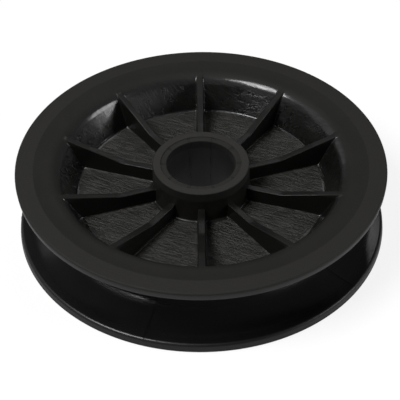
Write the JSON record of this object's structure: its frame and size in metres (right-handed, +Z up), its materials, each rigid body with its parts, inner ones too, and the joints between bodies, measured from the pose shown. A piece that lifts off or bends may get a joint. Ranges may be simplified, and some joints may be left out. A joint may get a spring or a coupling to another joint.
{
  "type": "grooved sheave",
  "caption": "Black moulded plastic sheave with a deep round groove for rope or hose, a thin ribbed web and a plain-bored hub.",
  "frame": {"origin": "centre of the bore, in the plane of the lower face that the sheave lies on", "axes": "+Z up along the bore axis; +Y along one rib of each face"},
  "size_m": [0.135, 0.135, 0.0285],
  "materials": {
    "sheave": "satin"
  },
  "bodies": {
    "root": {"sheave": "sheave"}
  },
  "joints": []
}
